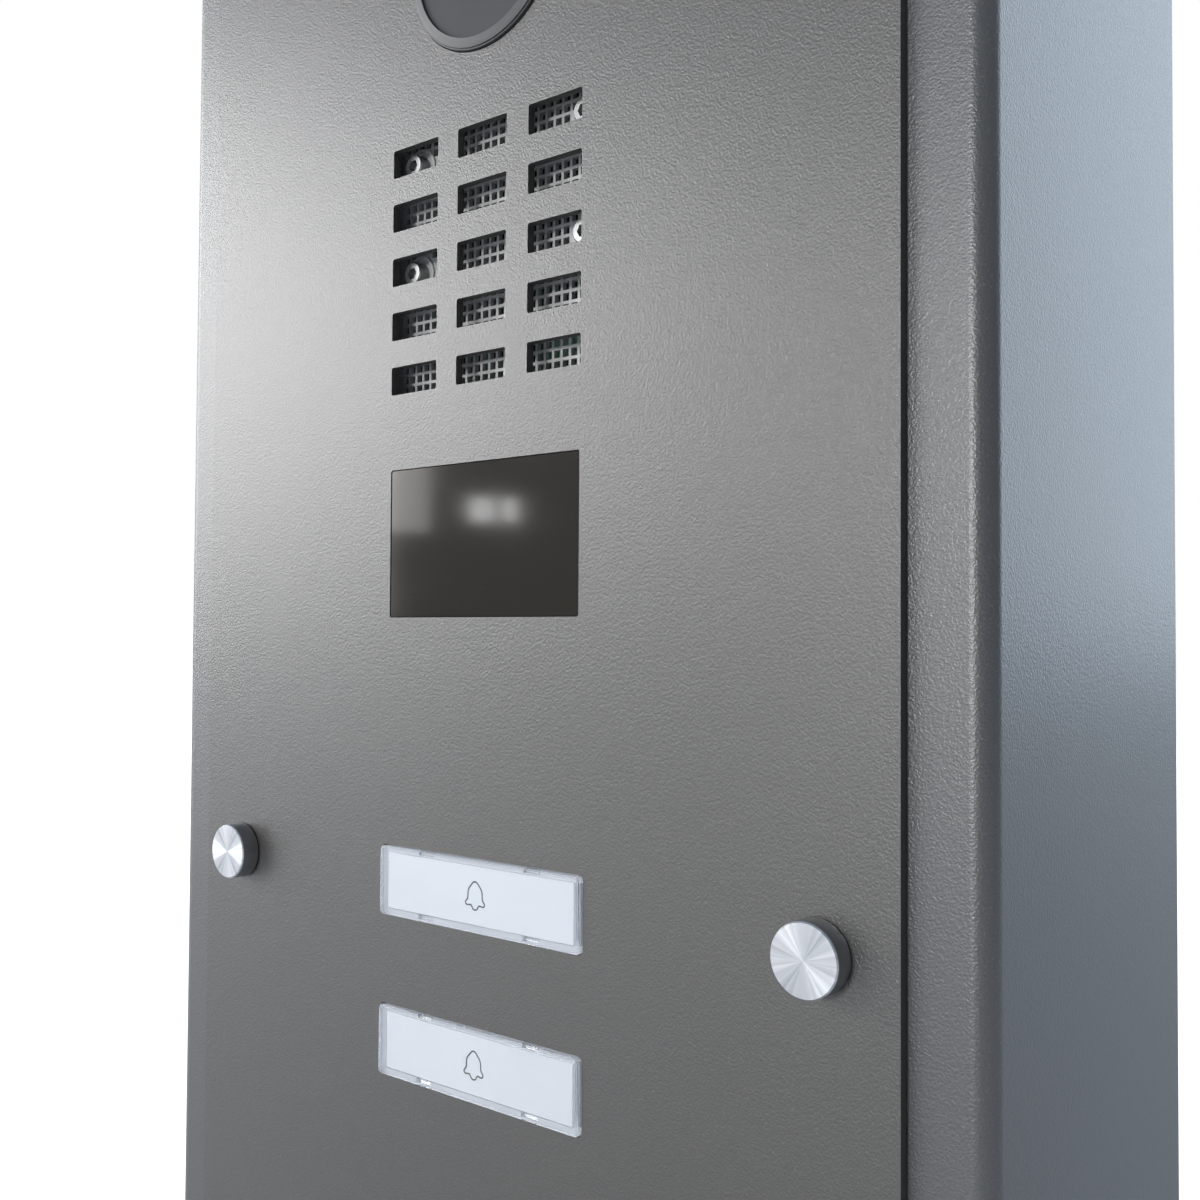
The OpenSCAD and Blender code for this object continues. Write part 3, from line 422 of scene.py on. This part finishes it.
def ribbon(name, loop, centre, line, depth, material):
    """A closed line of the given width and depth along a loop in X and Z."""
    count = len(loop)
    verts, faces = [], []
    for i, (x, z) in enumerate(loop):
        (x0, z0), (x1, z1) = loop[i - 1], loop[(i + 1) % count]
        length = math.hypot(x1 - x0, z1 - z0)
        nx, nz = -(z1 - z0) / length, (x1 - x0) / length
        for side in (-0.5, 0.5):
            for y in (0.0, depth):
                verts.append((centre[0] + x + nx * line * side,
                              centre[1] + y,
                              centre[2] + z + nz * line * side))
    for i in range(count):
        a, b = 4 * i, 4 * ((i + 1) % count)
        for p, q in ((0, 1), (1, 3), (3, 2), (2, 0)):
            faces.append((a + p, a + q, b + q, b + p))
    mesh = bpy.data.meshes.new(name)
    mesh.from_pydata(verts, [], faces)
    mesh.update()
    piece = bpy.data.objects.new(name, mesh)
    bpy.context.scene.collection.objects.link(piece)
    mesh.materials.append(material)
    return piece


ink = moulded("label_ink", (0.012, 0.012, 0.014), 0.6)
for number in (1, 2):
    low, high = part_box(f"button_{number}_label")
    centre = ((low.x + high.x) / 2, low.y - INK_DEPTH, (low.z + high.z) / 2)
    outline = bell_points(*BELL_SIZE)
    bell = ribbon(f"button_{number}_bell", outline, centre, BELL_LINE, INK_DEPTH, ink)
    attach(bell, f"call_button_{number}")


# ---- studio ----

FLOOR_HALF = 6.0
FLOOR_GLOW = 0.8
FLOOR_GAP = 0.5 * MM
ROOM_TONES = ((0.42, (0.085, 0.075, 0.068)), (0.80, (0.36, 0.42, 0.50)))    # below, above
CAMERA_PLACE = (197.8 * MM, -306.2 * MM, -15.7 * MM)
CAMERA_ANGLES = (39.41, 1.54, 0.35)    # yaw to the left, pitch up and roll, in degrees
CAMERA_LENS = 38.42
STUDIO = (    # name, azimuth, elevation, distance, size, watts, colour
    ("left_softbox", -69, 13, 2.4, (1.7, 1.1), 36, (1, 1, 1)),
    ("key", -42, 16, 2.4, (1.0, 0.4), 12, (1, 1, 1)),
    ("front_key", -3, 7, 2.6, (0.35, 0.35), 33, (1, 1, 1)),
    ("low_panel", -51, 7.5, 2.4, (0.3, 0.24), 0.6, (1, 0.97, 0.94)),
    ("lamp_1", -44.8, 5.8, 2.4, (0.05, 0.05), 0.06, (1, 1, 1)),
    ("lamp_2", -43.4, 5.8, 2.4, (0.03, 0.05), 0.04, (1, 1, 1)),
    ("back_softbox", 166, 19, 2.2, (1.3, 1.7), 21, (0.74, 0.87, 1.0)),
)


def area_light(name, place, aim, size, power, colour):
    light = bpy.data.lights.new(name, "AREA")
    light.shape = "RECTANGLE"
    light.size, light.size_y = size
    light.energy = power
    light.color = colour
    holder = bpy.data.objects.new(name, light)
    holder.location = place
    holder.rotation_euler = (Vector(aim) - Vector(place)).to_track_quat("-Z", "Y").to_euler()
    bpy.context.scene.collection.objects.link(holder)


def make_floor(level):
    """A white floor that shines a little for the camera only, so that it joins the background."""
    mesh = bpy.data.meshes.new("floor")
    corners = ((-1, -1), (1, -1), (1, 1), (-1, 1))
    mesh.from_pydata([(x * FLOOR_HALF, y * FLOOR_HALF, level) for x, y in corners], [], [(0, 1, 2, 3)])
    floor = bpy.data.objects.new("floor", mesh)
    bpy.context.scene.collection.objects.link(floor)
    s = Surface("studio_floor", Specular_IOR_Level=0.1, Roughness=0.9)
    s.colour(s.ramp(s.noise(300, detail=2), (0.3, (0.86, 0.86, 0.86)), (0.7, (0.89, 0.89, 0.89))))
    s.shader.inputs["Emission Color"].default_value = (1, 1, 1, 1)
    path = s.add("ShaderNodeLightPath")
    glow = s.math("MULTIPLY", path.outputs["Is Camera Ray"], FLOOR_GLOW)
    s.link(glow, s.shader.inputs["Emission Strength"])
    mesh.materials.append(s.material)


def make_world():
    """Even room light, brighter from above; the background shows white."""
    world = bpy.data.worlds.new("studio")
    world.use_nodes = True
    tree = world.node_tree
    tree.nodes.clear()
    output = tree.nodes.new("ShaderNodeOutputWorld")
    white = tree.nodes.new("ShaderNodeBackground")
    white.inputs["Color"].default_value = (1, 1, 1, 1)
    white.inputs["Strength"].default_value = 1.0
    room = tree.nodes.new("ShaderNodeBackground")
    room.inputs["Strength"].default_value = 1.0
    place = tree.nodes.new("ShaderNodeTexCoord")
    split = tree.nodes.new("ShaderNodeSeparateXYZ")
    tree.links.new(place.outputs["Generated"], split.inputs["Vector"])
    level = tree.nodes.new("ShaderNodeMapRange")
    level.inputs["From Min"].default_value = -1.0
    tree.links.new(split.outputs["Z"], level.inputs["Value"])
    tones = tree.nodes.new("ShaderNodeValToRGB")
    for element, (position, tone) in zip(tones.color_ramp.elements, ROOM_TONES):
        element.position = position
        element.color = (*tone, 1.0)
    tree.links.new(level.outputs["Result"], tones.inputs["Fac"])
    tree.links.new(tones.outputs["Color"], room.inputs["Color"])
    path = tree.nodes.new("ShaderNodeLightPath")
    mix = tree.nodes.new("ShaderNodeMixShader")
    tree.links.new(path.outputs["Is Camera Ray"], mix.inputs[0])
    tree.links.new(room.outputs[0], mix.inputs[1])
    tree.links.new(white.outputs[0], mix.inputs[2])
    tree.links.new(mix.outputs[0], output.inputs["Surface"])
    bpy.context.scene.world = world


def make_camera():
    """Camera at the right of the panel, a little below its middle."""
    yaw, pitch, roll = (math.radians(angle) for angle in CAMERA_ANGLES)
    ahead = Vector((-math.sin(yaw) * math.cos(pitch), math.cos(yaw) * math.cos(pitch), math.sin(pitch)))
    right = Vector((math.cos(yaw), math.sin(yaw), 0))
    up = right.cross(ahead)
    rolled_right = right * math.cos(roll) + up * math.sin(roll)
    rolled_up = up * math.cos(roll) - right * math.sin(roll)
    data = bpy.data.cameras.new("camera")
    data.lens = CAMERA_LENS
    data.sensor_width = 36.0
    data.clip_start = 0.01
    camera = bpy.data.objects.new("camera", data)
    camera.matrix_world = Matrix((
        (rolled_right.x, rolled_up.x, -ahead.x, CAMERA_PLACE[0]),
        (rolled_right.y, rolled_up.y, -ahead.y, CAMERA_PLACE[1]),
        (rolled_right.z, rolled_up.z, -ahead.z, CAMERA_PLACE[2]),
        (0, 0, 0, 1)))
    bpy.context.scene.collection.objects.link(camera)
    bpy.context.scene.camera = camera


def towards(azimuth, elevation, distance):
    """Point seen from the front's middle, in degrees right of straight ahead and above level."""
    turn, rise = math.radians(azimuth), math.radians(elevation)
    return (distance * math.sin(turn) * math.cos(rise),
            cad_low.y - distance * math.cos(turn) * math.cos(rise),
            distance * math.sin(rise))


middle = (0, cad_low.y, 0)
make_floor(cad_low.z - FLOOR_GAP)
make_world()
make_camera()
for name, azimuth, elevation, distance, size, watts, colour in STUDIO:
    area_light(name, towards(azimuth, elevation, distance), middle, size, watts, colour)
bpy.context.scene.view_settings.view_transform = "Standard"
